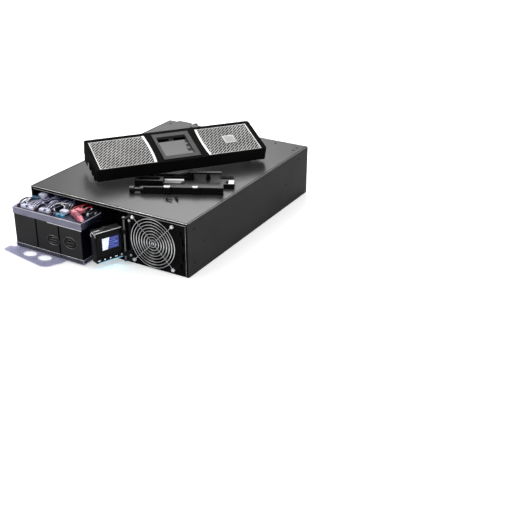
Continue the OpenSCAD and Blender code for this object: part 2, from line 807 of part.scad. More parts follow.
module stand_foot_front() {
    bar_h = 17;
    color("#151617") at_kit() {
        difference() {
            slab([-73, 0, 0], [104, 6, bar_h]);
            for (x = [-62, -48, -2, 14, 66, 82]) slab([x, 4, 3], [x + 10, 7, bar_h - 3]);
        }
        rod_x([-105, 6, 8.5], 8.5, 11);
        rod_x([-96, 6, 8.5], 5, 25);
        rod_x([-80, 6, 8.5], 8, 8);
        difference() {
            slab([100, -3, 0], [112, 14, bar_h + 1]);
            slab([99, -4, 6], [106, 3, 13]);
        }
    }
}

module foot_clips() {
    clip_h = 18.4;
    color("#c9cacb") at_kit() for (x = [-26, 40]) difference() {
        slab([x, -2.4, 0], [x + 16, 8.4, clip_h]);
        slab([x - 1, -0.1, -1], [x + 17, 6.1, 17.1]);
    }
}

module stand_foot_back() {
    blade_z = 15.5;
    color("#141516") at_kit() {
        difference() {
            slab([-87, 86, 0], [30, 104, 9.8]);
            for (x = [-78, -54, -30, -6]) slab([x, 90, 4], [x + 18, 100, 11]);
        }
        translate([0, 98, 0]) rotate([90, 0, 0]) linear_extrude(8)
            polygon([[-10, 9], [30, 9], [30, 18], [24, 17.5]]);
        slab([22, 88, 0], [37, 103, 20]);
        slab([36, 90, blade_z], [103, 100, blade_z + 4]);
        translate([0, 99, 0]) rotate([90, 0, 0]) linear_extrude(8)
            polygon([[65, 0], [77, 0], [73.5, blade_z + 1], [68.5, blade_z + 1]]);
    }
}

module stand_spacers() {
    color("#121314") at_kit() {
        difference() {
            slab([-98, 38, 0], [-32, 66, 18]);
            slab([-90, 44, 4], [-40, 60, 19]);
        }
        difference() {
            slab([110, 38, 0], [136, 62, 11]);
            slab([115, 43, 8], [131, 57, 12]);
        }
        difference() {
            slab([100, 101, 0], [132, 114, 2.4]);
            for (x = [108, 124]) rod_z([x, 107, -1], 2.2, 5);
        }
    }
}

module steel_links() {
    color("#c4c6c8") at_kit() {
        slab([-31, 68, 0], [8, 74, 4.3]);
        slab([-31, 68, 4.4], [15, 74, 8.7]);
    }
    color("#55575a") at_kit() slab([122, 39, 11.1], [135, 61, 12.4]);
}

module loose_screw(x, y, turn) {
    head_r = 3.4;
    translate([x, y, body_h + 0.1]) rotate([0, 0, turn]) {
        rod_x([-8, 0, head_r], head_r, 2.6);
        rod_x([-6, 0, head_r], 1.9, 14);
    }
}

module loose_screws() {
    color("#0f1011") {
        loose_screw(112, -201, -7);
        loose_screw(126, -190, -41);
    }
}

// ---- what each name draws ------------------------------------------------

base_pan();
top_cover();
front_panel();
bay_divider();
tray_rails();
chassis_screws();
fan_frame();
fan_guard();
fan_screws();
fan_rotor();
display_bracket();
display_hinge_pin();
bracket_screws();
power_board();
board_standoffs();
heatsinks();
capacitors();
inductors();
battery_socket();
rear_panel();
outlets();
terminal_block();
terminal_cover();
cable_gland();
comm_card();
input_breaker();
breaker_toggle();
tray_shell();
battery_cases();
battery_lids();
battery_terminals();
jumper_wires();
wiring_cover();
white_connectors();
blue_connectors();
red_connector();
main_cable();
terminal_caps();
pull_tab();
display_shell();
display_back();
display_lens();
lcd_panel();
display_board();
light_bar();
key_escape();
key_up();
key_down();
key_enter();
key_power();
bezel_frame();
bezel_grilles();
centre_frame();
badge_plate();
stand_foot_front();
foot_clips();
stand_foot_back();
stand_spacers();
steel_links();
loose_screws();
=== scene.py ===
"""Looks of a three-unit rack battery backup unit: finishes for its CAD parts, and detailed pieces.

Every place below is in millimetres in the part's own frame, and MM turns it into metres.
"""
import json
import math
import random

import bmesh
import bpy
from mathutils import Euler, Matrix, Vector


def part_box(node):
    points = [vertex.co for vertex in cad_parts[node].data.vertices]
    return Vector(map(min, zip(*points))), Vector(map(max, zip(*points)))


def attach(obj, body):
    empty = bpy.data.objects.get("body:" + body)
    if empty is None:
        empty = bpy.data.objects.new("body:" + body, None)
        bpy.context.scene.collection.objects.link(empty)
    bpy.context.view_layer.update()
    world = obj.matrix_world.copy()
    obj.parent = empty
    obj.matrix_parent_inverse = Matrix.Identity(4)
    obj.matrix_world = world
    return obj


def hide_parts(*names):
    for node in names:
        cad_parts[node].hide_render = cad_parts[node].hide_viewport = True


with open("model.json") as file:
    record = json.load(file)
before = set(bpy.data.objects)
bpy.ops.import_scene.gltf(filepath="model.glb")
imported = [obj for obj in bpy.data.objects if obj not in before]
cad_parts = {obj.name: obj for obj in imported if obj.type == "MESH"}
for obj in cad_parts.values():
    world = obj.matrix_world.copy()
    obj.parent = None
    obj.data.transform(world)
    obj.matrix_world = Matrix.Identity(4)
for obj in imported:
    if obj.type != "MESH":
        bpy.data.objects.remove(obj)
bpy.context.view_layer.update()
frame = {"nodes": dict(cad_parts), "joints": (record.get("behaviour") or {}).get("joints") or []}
CAD = frame["nodes"]
MM = 0.001


def edge(node, corner, axis):
    """One coordinate of a CAD node's box in millimetres: corner 0 is the lowest, 1 the highest."""
    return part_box(node)[corner][axis] / MM


def frame_at(place, tilt=0.0, turn=0.0):
    """A local frame at place, tilted about its own X after turning about Z, in degrees."""
    turned = Euler((math.radians(tilt), 0, math.radians(turn))).to_matrix().to_4x4()
    return Matrix.Translation(place) @ turned


# ---- places read from the frame, and others given as numbers ----------------

JOINTS = {joint["name"]: joint for joint in frame["joints"]}
swing = JOINTS["display_swing"]
DISPLAY = frame_at(Vector(swing["pos_m"]) / MM, turn=-swing["range_deg"][0])
BEZEL = frame_at((6.7, -11.3, 188), tilt=14.8, turn=52.3)      # middle of the loose bezel's face
KIT = frame_at((102, -163, 130.1), turn=28.3)                  # the loose stand parts on the lid
HERE = Matrix.Identity(4)

FRONT = edge("base_pan", 0, 1)
BACK = edge("base_pan", 1, 1)
TOP = edge("top_cover", 1, 2)
TRAY_L = edge("tray_shell", 0, 0)
TRAY_R = edge("tray_shell", 1, 0)
TRAY_Y = edge("tray_shell", 0, 1)
DECK = edge("white_connectors", 0, 2)     # top of the wiring cover, where the connectors stand
BLOCK_PITCH = 66.4                        # from one battery block to the next across the tray


# ---- material nodes ----------------------------------------------------------

class Finish:
    """One node material, with short calls for the nodes that the finishes share."""

    def __init__(self, name):
        self.material = bpy.data.materials.new(name)
        self.material.use_nodes = True
        self.nodes = self.material.node_tree.nodes
        self.links = self.material.node_tree.links
        self.shader = self.nodes["Principled BSDF"]
        self.place = self.nodes.new("ShaderNodeTexCoord").outputs["Object"]

    def feed(self, socket, value):
        """Links an output to an input, or sets the input's plain value."""
        if isinstance(value, bpy.types.NodeSocket):
            self.links.new(value, socket)
        elif isinstance(value, tuple) and len(value) == 3 and socket.type == "RGBA":
            socket.default_value = (*value, 1.0)
        else:
            socket.default_value = value

    def put(self, name, value):
        self.feed(self.shader.inputs[name], value)

    def stretched(self, stretch):
        node = self.nodes.new("ShaderNodeMapping")
        node.inputs["Scale"].default_value = stretch
        self.links.new(self.place, node.inputs["Vector"])
        return node.outputs["Vector"]

    def noise(self, scale, detail=3.0, stretch=(1, 1, 1)):
        node = self.nodes.new("ShaderNodeTexNoise")
        node.inputs["Scale"].default_value = scale
        node.inputs["Detail"].default_value = detail
        self.links.new(self.stretched(stretch), node.inputs["Vector"])
        return node.outputs["Fac"]

    def scaled(self, value, low, high, start=0.3, end=0.7):
        node = self.nodes.new("ShaderNodeMapRange")
        self.links.new(value, node.inputs["Value"])
        for name, number in zip(("From Min", "From Max", "To Min", "To Max"), (start, end, low, high)):
            node.inputs[name].default_value = number
        return node.outputs["Result"]

    def math(self, operation, first, second=0.0):
        node = self.nodes.new("ShaderNodeMath")
        node.operation = operation
        self.feed(node.inputs[0], first)
        self.feed(node.inputs[1], second)
        return node.outputs[0]

    def axis(self, name):
        node = self.nodes.new("ShaderNodeSeparateXYZ")
        self.links.new(self.place, node.inputs[0])
        return node.outputs[name]

    def blend(self, share, first, second):
        node = self.nodes.new("ShaderNodeMix")
        node.data_type = "RGBA"
        self.feed(node.inputs["Factor"], share)
        self.feed(node.inputs[6], first)
        self.feed(node.inputs[7], second)
        return node.outputs[2]

    def bump(self, height, strength, distance=0.0002):
        node = self.nodes.new("ShaderNodeBump")
        node.inputs["Strength"].default_value = strength
        node.inputs["Distance"].default_value = distance
        self.links.new(height, node.inputs["Height"])
        return node.outputs["Normal"]


def tint(colour, factor):
    return tuple(min(1.0, channel * factor) for channel in colour)


def coat(name, colour, rough, metal=0.0, grain=1200.0, depth=0.15, spread=0.18, gloss=0.5,
         clear=0.0, stretch=(1, 1, 1)):
    """A finish with fine grain: its colour and roughness vary, and the grain also raises the surface."""
    f = Finish(name)
    broad = f.noise(14.0, 2.0)
    fine = f.noise(grain, 3.0, stretch)
    dark, light = tint(colour, 1 - spread), tint(colour, 1 + spread)
    f.put("Base Color", f.blend(f.scaled(broad, 0.0, 1.0), dark, light))
    f.put("Roughness", f.scaled(fine, rough * 0.85, min(1.0, rough * 1.18)))
    f.put("Metallic", metal)
    f.put("Specular IOR Level", gloss)
    f.put("Coat Weight", clear)
    f.put("Coat Roughness", 0.08)
    f.put("Normal", f.bump(fine, depth))
    return f.material


def clear_sheet(name, colour, see, rough=0.12, grain=300.0, haze=0.25):
    """Clear plastic film: light passes tinted, and its surface shines and carries a little haze."""
    f = Finish(name)
    fine = f.noise(grain, 2.0)
    f.put("Base Color", f.blend(f.scaled(f.noise(25.0), 0.0, 1.0), tint(colour, 0.92), tint(colour, 1.08)))
    f.put("Roughness", f.scaled(fine, rough * 0.8, rough * 1.3))
    f.put("Normal", f.bump(fine, 0.08))
    open_side = f.nodes.new("ShaderNodeBsdfTransparent")
    open_side.inputs["Color"].default_value = (*see, 1.0)
    mixer = f.nodes.new("ShaderNodeMixShader")
    f.feed(mixer.inputs[0], f.scaled(f.noise(60.0), haze * 0.85, haze * 1.15))
    f.links.new(open_side.outputs[0], mixer.inputs[1])
    f.links.new(f.shader.outputs[0], mixer.inputs[2])
    f.links.new(mixer.outputs[0], f.nodes["Material Output"].inputs["Surface"])
    return f.material


def block_coat(name):
    """Moulded battery case with painted shade in the seams between the blocks: its colour darkens to near
    black and loses its shine where the rounded corners meet.
    """
    wall, seam_half = 1.0, (2.1, 2.7)     # tray wall; where the painted seam shade starts and stops fading
    f = Finish(name)
    fine = f.noise(1100.0, 3.0)
    across = f.math("SUBTRACT", f.axis("X"), (TRAY_L + wall) * MM)
    from_seam = f.math("PINGPONG", across, 0.5 * BLOCK_PITCH * MM)
    # painted shade: near black in the seams between the blocks
    seam_shade = f.scaled(from_seam, 1.0, 0.0, seam_half[0] * MM, seam_half[1] * MM)
    grey = f.blend(f.scaled(f.noise(14.0, 2.0), 0.0, 1.0), (0.015, 0.015, 0.016), (0.021, 0.021, 0.022))
    f.put("Base Color", f.blend(seam_shade, grey, (0.0015, 0.0015, 0.006)))
    f.put("Roughness", f.scaled(fine, 0.36, 0.5))
    f.put("Specular IOR Level", f.scaled(seam_shade, 0.25, 0.04, 0.0, 1.0))
    f.put("Normal", f.bump(fine, 0.3))
    return f.material


def cover_sheet(name):
    """The clear wiring cover: frosted where it faces forward, hazy near its front edge, darker behind."""
    f = Finish(name)
    fine = f.noise(300.0, 2.0)
    f.put("Base Color", f.blend(f.scaled(f.noise(25.0), 0.0, 1.0), (0.30, 0.30, 0.38), (0.36, 0.36, 0.45)))
    f.put("Roughness", f.scaled(fine, 0.2, 0.32))
    f.put("Specular IOR Level", 0.25)
    f.put("Normal", f.bump(fine, 0.08))
    normal = f.nodes.new("ShaderNodeSeparateXYZ")
    f.links.new(f.nodes.new("ShaderNodeNewGeometry").outputs["Normal"], normal.inputs[0])
    forward = f.scaled(normal.outputs["Y"], 0.46, 0.0, -0.9, -0.5)
    near = f.scaled(f.axis("Y"), 0.20, 0.02, 1.02 * TRAY_Y * MM, 0.92 * TRAY_Y * MM)
    open_side = f.nodes.new("ShaderNodeBsdfTransparent")
    open_side.inputs["Color"].default_value = (0.80, 0.80, 0.90, 1.0)
    mixer = f.nodes.new("ShaderNodeMixShader")
    f.feed(mixer.inputs[0], f.math("MAXIMUM", forward, near))
    f.links.new(open_side.outputs[0], mixer.inputs[1])
    f.links.new(f.shader.outputs[0], mixer.inputs[2])
    f.links.new(mixer.outputs[0], f.nodes["Material Output"].inputs["Surface"])
    return f.material


def wire_with_painted_reflection(name):
    """Bright plated wire with a painted reflection: its colour is lightest where its surface stands
    upright, as if the pale floor shone in it, and dark where it faces up or down.
    """
    f = Finish(name)
    fine = f.noise(500.0, 3.0)
    normal = f.nodes.new("ShaderNodeSeparateXYZ")
    f.links.new(f.nodes.new("ShaderNodeNewGeometry").outputs["Normal"], normal.inputs[0])
    # painted reflection: the more upright the wire's surface, the lighter its colour
    tilt = f.scaled(f.math("ABSOLUTE", normal.outputs["Z"]), 0.0, 1.0, 0.05, 0.5)
    f.put("Base Color", f.blend(tilt, (1.0, 1.0, 1.0), (0.04, 0.04, 0.045)))
    f.put("Roughness", f.scaled(fine, 0.16, 0.26))
    f.put("Metallic", 0.4)
    f.put("Normal", f.bump(fine, 0.05))
    return f.material


def lit(name, colour, strength, spread=0.25, scale=120.0, seen=1.0):
    """A lit surface whose colour varies a little. The camera sees only the share seen of its light."""
    f = Finish(name)
    varied = f.blend(f.scaled(f.noise(scale), 0.0, 1.0), tint(colour, 1 - spread), colour)
    f.put("Base Color", varied)
    f.put("Emission Color", varied)
    direct = f.nodes.new("ShaderNodeLightPath").outputs["Is Camera Ray"]
    f.put("Emission Strength", f.scaled(direct, strength, strength * seen, 0.0, 1.0))
    f.put("Roughness", 0.3)
    return f.material


# ---- finishes ----------------------------------------------------------------

LID_COAT = coat("lid_powder_coat", (0.012, 0.012, 0.012), 0.36, grain=1500, depth=0.2, gloss=0.5)
SIDE_COAT = coat("side_powder_coat", (0.018, 0.018, 0.018), 0.5, grain=1500, depth=0.25, gloss=0.42)
FRONT_COAT = coat("front_powder_coat", (0.003, 0.003, 0.004), 0.45, grain=1500, depth=0.2, gloss=0.05)
REAR_COAT = coat("rear_powder_coat", (0.012, 0.012, 0.013), 0.5, grain=1500, depth=0.2, gloss=0.3)
FOLD_HIGHLIGHT_GREY = coat("painted_fold_highlight", (0.36, 0.36, 0.35), 0.3, metal=0.2, grain=500, spread=0.4,
                 stretch=(0.2, 1, 1))
LID_FOLD_HIGHLIGHT = coat("painted_lid_edge_highlight", (0.22, 0.22, 0.22), 0.35, grain=500, spread=0.3)
GREY_COAT = coat("grey_cover_coat", (0.02, 0.02, 0.021), 0.45, grain=1500, depth=0.2)
BLACK_SHELL = coat("black_moulding", (0.003, 0.003, 0.004), 0.36, grain=900, depth=0.15, gloss=0.18)
GLOSS_BLACK = coat("polished_black", (0.003, 0.003, 0.004), 0.12, grain=400, depth=0.03, gloss=0.3)
SCREW_BLACK = coat("screw_black", (0.004, 0.004, 0.004), 0.3, grain=400, depth=0.1, gloss=0.06)
FOOT_BLACK = coat("foot_black", (0.003, 0.003, 0.003), 0.3, grain=500, depth=0.08, gloss=0.15)
BEZEL_BLACK = coat("bezel_black", (0.0045, 0.005, 0.0045), 0.42, grain=900, depth=0.15, gloss=0.004)
FOAM_SHADE_BLACK = coat("filter_foam_painted_shade", (0.004, 0.004, 0.004), 0.8, grain=260, depth=0.8, gloss=0.02)
REAR_BLACK = coat("rear_moulding", (0.008, 0.008, 0.009), 0.36, grain=900, depth=0.15, gloss=0.4)
FRAME_GREY = coat("centre_frame_grey", (0.034, 0.034, 0.035), 0.45, grain=900, depth=0.15, gloss=0.1)
BLOCK_BLACK = block_coat("battery_block_seam_shade")
OVAL_HIGHLIGHT_GREY = coat("oval_painted_highlight", (0.045, 0.045, 0.047), 0.4, grain=1100, depth=0.2)
LID_BLACK = coat("battery_lid", (0.006, 0.006, 0.012), 0.35, grain=1100, depth=0.2, gloss=0.3)
GUARD_WIRE = wire_with_painted_reflection("nickel_wire_painted_reflection")
BRIGHT_STEEL = coat("bright_steel", (0.85, 0.86, 0.87), 0.25, metal=0.45, grain=700, depth=0.1)
PIN_STEEL = coat("pin_steel", (0.22, 0.22, 0.23), 0.3, metal=0.6, grain=500, depth=0.1)
LINK_STEEL = coat("link_steel", (0.74, 0.74, 0.75), 0.38, metal=0.25, grain=260, depth=0.25,
                  stretch=(1, 1, 30))
ZINC = coat("zinc_plate", (0.30, 0.31, 0.33), 0.38, metal=1.0, grain=260, depth=0.12, spread=0.3)
DARK_ZINC = coat("dark_bracket_steel", (0.015, 0.015, 0.018), 0.35, metal=0.5, grain=500, depth=0.12)
FIN_ALUMINIUM = coat("fin_aluminium", (0.55, 0.56, 0.58), 0.35, metal=1.0, grain=300, stretch=(1, 0.02, 1))
SILVER_MESH = coat("silver_grille", (0.46, 0.46, 0.45), 0.6, grain=900, depth=0.1, gloss=0.1)
SILVER_TRIM_AND_HIGHLIGHT = coat("silver_trim_and_painted_highlight", (0.66, 0.66, 0.65), 0.36, metal=0.1, grain=700, depth=0.05, spread=0.06)
BADGE_SILVER = coat("badge_silver", (0.48, 0.49, 0.49), 0.34, metal=0.3, grain=500, stretch=(1, 12, 1))
WHITE_NYLON = coat("white_nylon", (0.60, 0.62, 0.76), 0.4, grain=600, depth=0.1, spread=0.12)
CLIP_WHITE = coat("clip_white", (0.78, 0.78, 0.78), 0.4, grain=600, depth=0.1, spread=0.08)
RUNNER_NYLON = coat("runner_nylon", (0.62, 0.61, 0.56), 0.5, grain=600, depth=0.1, spread=0.08)
BLUE_NYLON = coat("blue_nylon", (0.02, 0.22, 0.42), 0.35, grain=600, depth=0.1)
RED_NYLON = coat("red_housing", (0.72, 0.17, 0.22), 0.3, grain=600, depth=0.1)
PINK_HIGHLIGHT_NYLON = coat("red_housing_painted_highlight", (0.90, 0.42, 0.46), 0.3, grain=600, depth=0.1)
DEEP_RED = coat("deep_red_knob", (0.035, 0.004, 0.010), 0.3, grain=600, depth=0.1, gloss=0.3)
CABLE_BLACK = coat("cable_jacket", (0.006, 0.006, 0.009), 0.25, grain=500, depth=0.1, gloss=0.5)
LEAD_NAVY = coat("navy_lead", (0.016, 0.017, 0.060), 0.24, grain=500, depth=0.1, gloss=0.8)
LEAD_HIGHLIGHT_GREY = coat("painted_lead_highlight", (0.27, 0.27, 0.44), 0.3, grain=500, depth=0.1, gloss=0.6)
CABLE_RED = coat("red_wire", (0.45, 0.02, 0.03), 0.35, grain=500, depth=0.1)
BOARD_GREEN = coat("circuit_board", (0.012, 0.10, 0.035), 0.35, grain=350, depth=0.3, spread=0.4, clear=0.3)
CAN_BLUE = coat("capacitor_sleeve", (0.02, 0.035, 0.10), 0.3, grain=500, depth=0.05, clear=0.3)
COPPER_COIL = coat("enamelled_copper", (0.42, 0.16, 0.05), 0.3, metal=0.9, grain=160, depth=0.6,
                   stretch=(1, 1, 6))
BRASS = coat("brass", (0.62, 0.43, 0.16), 0.3, metal=1.0, grain=600, depth=0.1)
VIOLET_FILM = clear_sheet("violet_clear_tray", (0.30, 0.30, 0.38), (0.80, 0.80, 0.87), haze=0.12)
TAB_FILM = clear_sheet("violet_clear_tab", (0.42, 0.42, 0.56), (0.80, 0.80, 0.90), haze=0.40)
EDGE_HIGHLIGHT_FILM = clear_sheet("painted_edge_highlight", (0.72, 0.72, 0.78), (0.7, 0.7, 0.8), rough=0.3, haze=0.75)
COVER_FILM = cover_sheet("clear_wiring_cover")
WHITE_LIGHT = lit("screen_white_area", (0.80, 0.84, 0.95), 0.62, 0.45, 400.0)
BLUE_LIGHT = lit("screen_blue_area", (0.030, 0.045, 0.21), 0.8, 0.4)
ROW_LIGHT = lit("screen_rows", (0.11, 0.15, 0.42), 0.8)
CYAN_LIGHT = lit("cyan_light_bar", (0.35, 0.80, 1.0), 8.0, seen=0.005)
ICON_LIGHT = lit("key_marks", (0.85, 0.90, 0.95), 0.8)


# ---- mesh building -----------------------------------------------------------

def add_box(bm, low, high, at=HERE):
    size = Vector(high) - Vector(low)
    middle = (Vector(high) + Vector(low)) / 2
    placed = at @ Matrix.Translation(middle) @ Matrix.Diagonal((*size, 1))
    bmesh.ops.create_cube(bm, size=1.0, matrix=placed)


def add_prism(bm, outline, low, high, at=HERE):
    """A flat outline drawn in X and Y, raised from low to high along Z."""
    bottom = [bm.verts.new(at @ Vector((x, y, low))) for x, y in outline]
    top = [bm.verts.new(at @ Vector((x, y, high))) for x, y in outline]
    count = len(outline)
    bm.faces.new(bottom[::-1])
    bm.faces.new(top)
    for i in range(count):
        j = (i + 1) % count
        bm.faces.new((bottom[i], bottom[j], top[j], top[i]))


def add_rod(bm, start, end, radius, sides=24, end_radius=None, at=HERE):
    """A solid rod or cone between two points."""
    start, end = at @ Vector(start), at @ Vector(end)
    line = end - start
    turned = line.to_track_quat("Z", "Y").to_matrix().to_4x4()
    bmesh.ops.create_cone(
        bm, cap_ends=True, segments=sides, radius1=radius,
        radius2=radius if end_radius is None else end_radius, depth=line.length,
        matrix=Matrix.Translation((start + end) / 2) @ turned)


def smooth_path(points, steps=6):
    """Points along a Catmull-Rom curve through the given ones."""
    points = [Vector(p) for p in points]
    ends = [2 * points[0] - points[1]] + points + [2 * points[-1] - points[-2]]
    path = []
    for a, b, c, d in zip(ends, ends[1:], ends[2:], ends[3:]):
        for step in range(steps):
            t = step / steps
            path.append(0.5 * ((2 * b) + (c - a) * t + (2 * a - 5 * b + 4 * c - d) * t * t
                               + (3 * b - a - 3 * c + d) * t ** 3))
    return path + [points[-1]]


def add_tube(bm, points, radius, sides=10, closed=False, at=HERE):
    """A round tube along a path of points."""
    path = [at @ Vector(p) for p in points]
    count = len(path)
    rings = []
    side = None
    for i, point in enumerate(path):
        before = path[i - 1] if i or closed else point
        after = path[(i + 1) % count] if i < count - 1 or closed else point
        along = (after - before).normalized()
        if side is None:
            side = along.orthogonal().normalized()
        side = (side - along * side.dot(along)).normalized()
        other = along.cross(side)
        angles = [2 * math.pi * k / sides for k in range(sides)]
        spokes = [math.cos(a) * side + math.sin(a) * other for a in angles]
        rings.append([bm.verts.new(point + radius * spoke) for spoke in spokes])
    pairs = list(zip(rings, rings[1:])) + ([(rings[-1], rings[0])] if closed else [])
    for one, two in pairs:
        for k in range(sides):
            n = (k + 1) % sides
            bm.faces.new((one[k], one[n], two[n], two[k]))
    if not closed:
        bm.faces.new(rings[0][::-1])
        bm.faces.new(rings[-1])


def oval_outline(width, height, steps):
    """Points of an ellipse around the origin."""
    angles = [2 * math.pi * i / steps for i in range(steps)]
    return [(0.5 * width * math.cos(a), 0.5 * height * math.sin(a)) for a in angles]


def add_ring(bm, middle, radius, wire, normal=(0, 0, 1), steps=48, sides=10, at=HERE):
    """A closed ring of round wire."""
    turned = Vector(normal).to_track_quat("Z", "Y").to_matrix().to_4x4()
    local = at @ Matrix.Translation(middle) @ turned
    circle = [(x, y, 0) for x, y in oval_outline(2 * radius, 2 * radius, steps)]
    add_tube(bm, circle, wire, sides, closed=True, at=local)


def rounded_outline(low, high, radius, steps=5):
    """Corner points of a rectangle with rounded corners."""
    outline = []
    corners = ((high[0] - radius, high[1] - radius, 0), (low[0] + radius, high[1] - radius, 90),
               (low[0] + radius, low[1] + radius, 180), (high[0] - radius, low[1] + radius, 270))
    for x, y, start in corners:
        for i in range(steps + 1):
            angle = math.radians(start + 90 * i / steps)
            outline.append((x + radius * math.cos(angle), y + radius * math.sin(angle)))
    return outline


def soften(obj, width, segments=2, angle=35.0, weld=False):
    """Rounds sharp edges by width in millimetres and keeps flat faces looking flat."""
    for polygon in obj.data.polygons:
        polygon.use_smooth = True
    if weld:
        joined = obj.modifiers.new("weld", "WELD")
        joined.merge_threshold = 0.000002
        flat = obj.modifiers.new("flat", "DECIMATE")
        flat.decimate_type = "DISSOLVE"
        flat.angle_limit = math.radians(0.5)
    rounded = obj.modifiers.new("rounded", "BEVEL")
    rounded.width = width * MM
    rounded.segments = segments
    rounded.limit_method = "ANGLE"
    rounded.angle_limit = math.radians(angle)
    rounded.use_clamp_overlap = True
    weighted = obj.modifiers.new("weighted", "WEIGHTED_NORMAL")
    weighted.keep_sharp = True


def piece(name, bm, body, finish, stands_for=(), soft=0.0, smooth=True):
    """Makes a mesh piece that rides on a body. bm is in millimetres."""
    bmesh.ops.recalc_face_normals(bm, faces=bm.faces)
    bm.transform(Matrix.Scale(MM, 4))
    mesh = bpy.data.meshes.new(name)
    bm.to_mesh(mesh)
    bm.free()
    obj = bpy.data.objects.new(name, mesh)
    bpy.context.scene.collection.objects.link(obj)
    mesh.materials.append(finish)
    if smooth:
        for polygon in mesh.polygons:
            polygon.use_smooth = True
    if soft:
        soften(obj, soft)
    elif smooth:
        split = obj.modifiers.new("split", "EDGE_SPLIT")
        split.split_angle = math.radians(40)
    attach(obj, body)
    if stands_for:
        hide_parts(*stands_for)
    return obj


def dress(finish, *nodes, soft=0.0):
    """Gives CAD nodes a finish and, where soft is set, rounded edges."""
    for node in nodes:
        obj = CAD[node]
        obj.data.materials.clear()
        obj.data.materials.append(finish)
        if soft:
            if obj.data.has_custom_normals:
                obj.data.attributes.remove(obj.data.attributes["custom_normal"])
            soften(obj, soft, weld=True)


# ---- finishes of the CAD parts ------------------------------------------------

dress(LID_COAT, "top_cover", soft=1.3)
dress(SIDE_COAT, "base_pan", soft=0.5)
dress(FRONT_COAT, "front_panel", soft=0.4)
dress(FRONT_COAT, "bay_divider")
dress(RUNNER_NYLON, "tray_rails")
dress(BLACK_SHELL, "chassis_screws", "fan_frame", "battery_socket")
dress(REAR_BLACK, "outlets", "terminal_block", "cable_gland", "input_breaker", "breaker_toggle", soft=0.5)
dress(GUARD_WIRE, "fan_guard")
dress(BRIGHT_STEEL, "fan_screws", "bracket_screws", soft=0.2)
dress(PIN_STEEL, "display_hinge_pin", soft=0.2)
dress(DARK_ZINC, "display_bracket", soft=0.3)
dress(BOARD_GREEN, "power_board", "display_board")
dress(ZINC, "board_standoffs")
dress(FIN_ALUMINIUM, "heatsinks")
dress(CAN_BLUE, "capacitors")
dress(COPPER_COIL, "inductors")
dress(REAR_COAT, "rear_panel", "comm_card", soft=0.3)
dress(GREY_COAT, "terminal_cover", soft=0.8)
dress(VIOLET_FILM, "tray_shell")
dress(TAB_FILM, "pull_tab")
dress(BLOCK_BLACK, "battery_cases", soft=1.6)
dress(LID_BLACK, "battery_lids", soft=0.4)
dress(BRASS, "battery_terminals")
dress(CABLE_BLACK, "jumper_wires", "main_cable")
dress(COVER_FILM, "wiring_cover")
dress(WHITE_NYLON, "white_connectors", soft=0.4)
dress(BLUE_NYLON, "blue_connectors", soft=0.4)
dress(RED_NYLON, "red_connector", soft=0.8)
dress(DEEP_RED, "terminal_caps", soft=0.4)
dress(BLACK_SHELL, "display_shell", "display_back", soft=0.6)
dress(GLOSS_BLACK, "key_escape", "key_up", "key_down", "key_enter", "key_power", soft=0.3)
dress(CYAN_LIGHT, "light_bar")
dress(BEZEL_BLACK, "bezel_frame", soft=0.7)
dress(FRAME_GREY, "centre_frame", soft=0.5)
dress(BADGE_SILVER, "badge_plate", soft=0.4)
dress(FOOT_BLACK, "stand_foot_front", "stand_foot_back", "stand_spacers", soft=0.8)
dress(FOOT_BLACK, "foot_clips", soft=0.3)
dress(LINK_STEEL, "steel_links", soft=0.3)
dress(SCREW_BLACK, "loose_screws", soft=0.3)
dress(BLACK_SHELL, "fan_rotor", soft=0.4)

# ---- display -------------------------------------------------------------------

FACE_V = 6.0                              # depth of the module's face in the display's own frame
FACE = DISPLAY @ Matrix.Translation((0, FACE_V, 0)) @ Euler((math.radians(90), 0, 0)).to_matrix().to_4x4()
WINDOW = (-53.5, 48.0, -11.5, 76.6)       # left, bottom, right and top of the screen's window
LENS = (-66.8, 34.2, -6.2, 88.8)
LIT_L, LIT_FOOT, LIT_R, LIT_HEAD = WINDOW[0] + 0.1, WINDOW[1] + 0.1, WINDOW[2] - 0.1, WINDOW[3] - 0.1
SPLIT_FOOT, SPLIT_HEAD = -40.0, -34.5     # the slanted edge between the screen's white and blue areas
LIT_BACK, LIT_FACE = -1.2, -0.6           # depths of the screen's picture behind the face


def add_frame(bm, outer, hole, low, high, at=HERE):
    """A flat rectangle with a rectangular hole, both given as left, bottom, right, top."""
    rings = []
    for z in (low, high):
        for x0, y0, x1, y1 in (outer, hole):
            corners = ((x0, y0), (x1, y0), (x1, y1), (x0, y1))
            rings.append([bm.verts.new(at @ Vector((x, y, z))) for x, y in corners])
    for one, two in ((0, 1), (2, 3), (0, 2), (1, 3)):
        for k in range(4):
            n = (k + 1) % 4
            bm.faces.new((rings[one][k], rings[one][n], rings[two][n], rings[two][k]))


bm = bmesh.new()
add_frame(bm, LENS, WINDOW, -1.15, -0.1, FACE)
piece("lens_plate", bm, "display", GLOSS_BLACK, ["display_lens"], soft=0.2, smooth=False)

bm = bmesh.new()
add_prism(bm, [(LIT_L, LIT_FOOT), (SPLIT_FOOT, LIT_FOOT), (SPLIT_HEAD, LIT_HEAD), (LIT_L, LIT_HEAD)],
          LIT_BACK, LIT_FACE, FACE)
add_prism(bm, [(-51.5, 50.5), (-49, 50.5), (-49, 60), (-51.5, 60)], LIT_FACE, LIT_FACE + 0.1, FACE)
piece("screen_white_area", bm, "display", WHITE_LIGHT, ["lcd_panel"], smooth=False)

bm = bmesh.new()
add_prism(bm, [(SPLIT_FOOT, LIT_FOOT), (LIT_R, LIT_FOOT), (LIT_R, LIT_HEAD), (SPLIT_HEAD, LIT_HEAD)],
          LIT_BACK, LIT_FACE, FACE)
add_box(bm, (-52, LIT_FOOT, LIT_BACK - 0.7), (-12, 76, LIT_BACK), FACE)
piece("screen_blue_area", bm, "display", BLUE_LIGHT, smooth=False)

